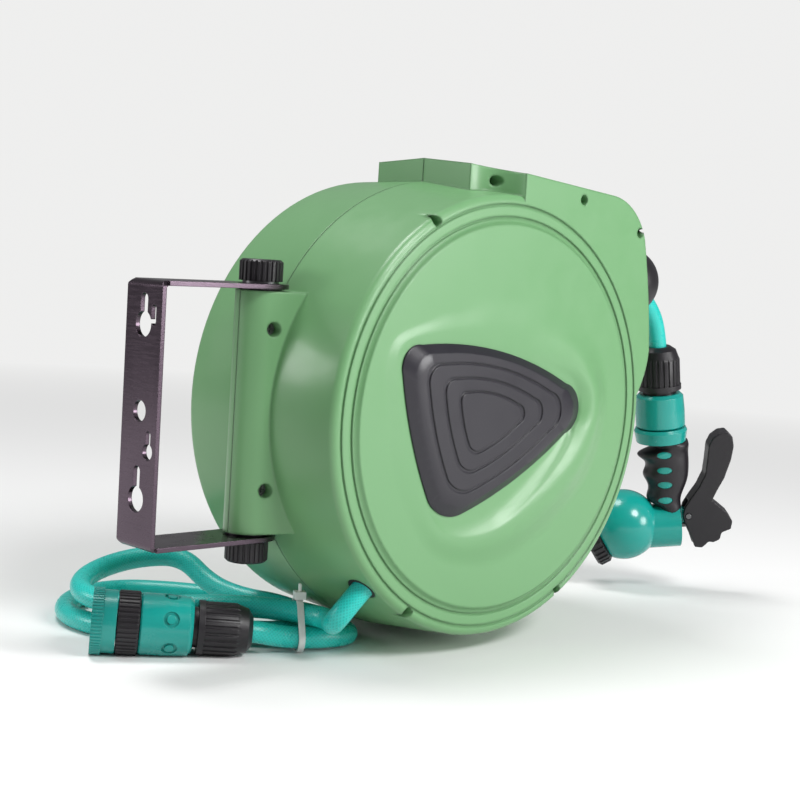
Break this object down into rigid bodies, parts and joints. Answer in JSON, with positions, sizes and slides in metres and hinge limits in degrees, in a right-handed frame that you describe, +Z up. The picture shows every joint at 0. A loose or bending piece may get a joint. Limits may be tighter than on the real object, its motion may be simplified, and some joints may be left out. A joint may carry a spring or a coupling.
{
  "type": "wall mounted hose reel",
  "caption": "Self-winding garden hose reel in a drum-shaped case that swivels on a wall bracket, with supply hose, stop ball and spray gun.",
  "frame": {"origin": "centre of the wall plate's back face", "axes": "+X out from the wall towards the hose outlet, +Z up, the spool turns about an axis along Y"},
  "size_m": [0.5681, 0.2627, 0.3309],
  "materials": {
    "green_plastic": "satin green injection moulding",
    "teal_plastic": "satin teal injection moulding",
    "black_plastic": "satin black injection moulding",
    "hose_vinyl": "soft vinyl hose with a braided layer",
    "bracket_steel": "dark polished plating",
    "zinc_steel": "zinc plated",
    "white_nylon": "white nylon",
    "bearing_bronze": "plain turned",
    "seal_rubber": "moulded rubber"
  },
  "bodies": {
    "bracket": {"wall_bracket": "bracket_steel", "pivot_bolts": "zinc_steel", "upper_pivot_knob": "black_plastic", "lower_pivot_knob": "black_plastic", "knob_washers": "zinc_steel", "thrust_washers": "black_plastic"},
    "case": {"front_case": "green_plastic", "rear_case": "green_plastic", "badge_plate": "black_plastic", "case_screws": "zinc_steel", "column_screws": "zinc_steel", "pivot_bushes": "bearing_bronze", "water_spindle": "bearing_bronze", "spring_arbor": "black_plastic", "return_spring": "zinc_steel", "inlet_elbow": "black_plastic", "pawl_pin": "zinc_steel", "roller_pins": "zinc_steel", "roller_frame": "black_plastic", "hose_guide": "black_plastic", "outlet_hose": "hose_vinyl", "stop_ball": "black_plastic", "outlet_lead": "hose_vinyl", "supply_hose_nut": "black_plastic", "supply_connector": "black_plastic", "supply_grip_ring": "black_plastic", "supply_hose": "hose_vinyl", "inlet_lead": "hose_vinyl", "inlet_gland": "seal_rubber", "cable_tie": "white_nylon", "outlet_hose_nut": "black_plastic", "outlet_connector": "black_plastic"},
    "spool": {"spool_barrel": "black_plastic", "front_flange": "black_plastic", "rear_flange": "black_plastic", "hose_winding": "hose_vinyl", "hub_bushes": "bearing_bronze", "spool_outlet_pipe": "bearing_bronze", "spindle_seals": "seal_rubber", "spring_cup": "black_plastic", "ratchet_ring": "black_plastic"},
    "pawl": {"pawl": "black_plastic"},
    "left_roller": {"left_roller": "black_plastic"},
    "right_roller": {"right_roller": "black_plastic"},
    "lower_roller": {"lower_roller": "black_plastic"},
    "upper_roller": {"upper_roller": "black_plastic"},
    "supply_sleeve": {"supply_sleeve": "teal_plastic"},
    "tap_adapter": {"tap_adapter": "teal_plastic", "tap_washer": "seal_rubber"},
    "outlet_sleeve": {"outlet_sleeve": "teal_plastic"},
    "gun": {"gun_inlet": "black_plastic", "gun_body": "teal_plastic", "gun_grip": "black_plastic", "trigger_pin": "zinc_steel"},
    "trigger": {"trigger": "black_plastic"},
    "valve_rod": {"valve_rod": "zinc_steel"},
    "nozzle_dial": {"nozzle_dial": "black_plastic"}
  },
  "joints": [
    {"name": "case_swivel", "type": "hinge", "parent": "bracket", "child": "case", "pos_m": [0.0865, 0, 0], "axis": [0, 0, 1], "range_deg": [-90, 90]},
    {"name": "spool_spin", "type": "hinge", "parent": "case", "child": "spool", "pos_m": [0.24, 0, 0], "axis": [0, 1, 0], "continuous": true},
    {"name": "pawl_lift", "type": "hinge", "parent": "case", "child": "pawl", "pos_m": [0.282, -0.0385, 0.07275], "axis": [0, -1, 0], "range_deg": [0, 12], "stiffness_Nm_per_rad": 0.02, "springref_deg": -11.46},
    {"name": "left_roller_spin", "type": "hinge", "parent": "case", "child": "left_roller", "pos_m": [0.3455, -0.0134, 0.1106], "axis": [0, 0, 1], "continuous": true},
    {"name": "right_roller_spin", "type": "hinge", "parent": "case", "child": "right_roller", "pos_m": [0.3455, 0.0134, 0.1106], "axis": [0, 0, 1], "continuous": true},
    {"name": "lower_roller_spin", "type": "hinge", "parent": "case", "child": "lower_roller", "pos_m": [0.3585, 0, 0.0972], "axis": [0, 1, 0], "continuous": true},
    {"name": "upper_roller_spin", "type": "hinge", "parent": "case", "child": "upper_roller", "pos_m": [0.3585, 0, 0.124], "axis": [0, 1, 0], "continuous": true},
    {"name": "supply_sleeve_slide", "type": "slide", "parent": "case", "child": "supply_sleeve", "axis": [0.8243, -0.5644, -0.0442], "range_m": [0, 0.0025], "stiffness_N_per_m": 400, "springref_m": -0.001},
    {"name": "tap_adapter_turn", "type": "hinge", "parent": "case", "child": "tap_adapter", "pos_m": [0.01276, 0.06068, -0.13909], "axis": [-0.8243, 0.5644, 0.0442], "continuous": true},
    {"name": "outlet_sleeve_slide", "type": "slide", "parent": "case", "child": "outlet_sleeve", "axis": [-0.1736, 0, 0.9848], "range_m": [0, 0.0025], "stiffness_N_per_m": 400, "springref_m": -0.001},
    {"name": "gun_swivel", "type": "hinge", "parent": "case", "child": "gun", "pos_m": [0.50916, 0, -0.02694], "axis": [0.1736, 0, -0.9848], "continuous": true},
    {"name": "trigger_squeeze", "type": "hinge", "parent": "gun", "child": "trigger", "pos_m": [0.53551, -0.01347, -0.0952], "axis": [-0.6804, -0.723, -0.12], "range_deg": [0, 14], "stiffness_Nm_per_rad": 1.5, "springref_deg": -8.59},
    {"name": "valve_rod_slide", "type": "slide", "parent": "gun", "child": "valve_rod", "axis": [-0.712, 0.6909, -0.1255], "range_m": [-0.00225, 0]},
    {"name": "nozzle_dial_turn", "type": "hinge", "parent": "gun", "child": "nozzle_dial", "pos_m": [0.49912, 0.0228, -0.1074], "axis": [-0.5719, 0.6262, -0.53], "continuous": true}
  ],
  "couplings": [
    {"joint": "valve_rod_slide", "follows": "trigger_squeeze", "m_per_rad": -0.0087}
  ]
}
